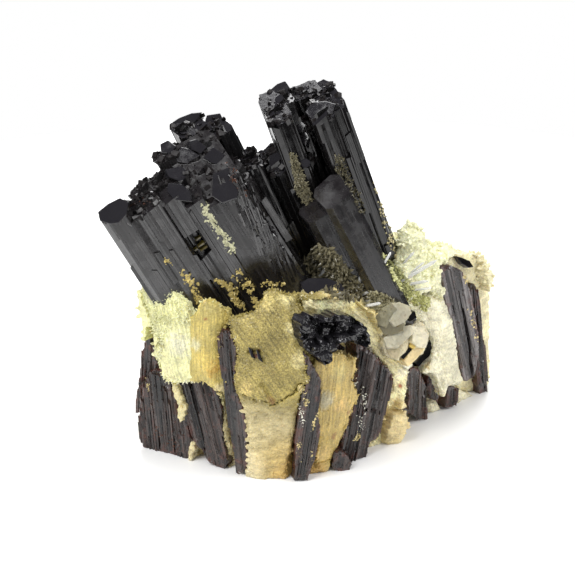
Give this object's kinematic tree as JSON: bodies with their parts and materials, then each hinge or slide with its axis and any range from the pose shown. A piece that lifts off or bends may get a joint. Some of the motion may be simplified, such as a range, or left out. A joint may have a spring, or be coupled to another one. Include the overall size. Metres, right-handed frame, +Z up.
{
  "type": "hubnerite with quartz",
  "caption": "Cluster of black striated hubnerite prisms leaning out of a pale yellow quartz matrix, with broken blades round its flanks and a flat cut foot.",
  "frame": {"origin": "middle of the bounding box, on the flat foot that the specimen rests on", "axes": "+Z up; the side that is looked at faces -Y, and +X is to the right of it; the prisms lean towards -X"},
  "size_m": [0.045, 0.0298, 0.0411],
  "materials": {
    "hubnerite": "black, glossy, ribbed along its length",
    "hubnerite_blade": "dark brown to black, satin cleavage faces",
    "quartz": "pale yellow, sugary and translucent"
  },
  "bodies": {
    "root": {"crystal_group": "hubnerite", "gem_crystal": "hubnerite", "pocket_crystal": "hubnerite", "broken_crystal": "hubnerite_blade", "blade_left_edge": "hubnerite_blade", "blade_left": "hubnerite_blade", "blade_left_inner": "hubnerite_blade", "blade_narrow": "hubnerite_blade", "blade_front": "hubnerite_blade", "blade_right": "hubnerite_blade", "blade_right_foot": "hubnerite_blade", "blade_low_right": "hubnerite_blade", "blade_low_splinter": "hubnerite_blade", "blade_low_stub": "hubnerite_blade", "blade_far_right": "hubnerite_blade", "blade_far_right_outer": "hubnerite_blade", "blade_back_right": "hubnerite_blade", "blade_back": "hubnerite_blade", "blade_back_narrow": "hubnerite_blade", "blade_back_left": "hubnerite_blade", "blade_back_left_low": "hubnerite_blade", "quartz_matrix": "quartz"}
  },
  "joints": []
}
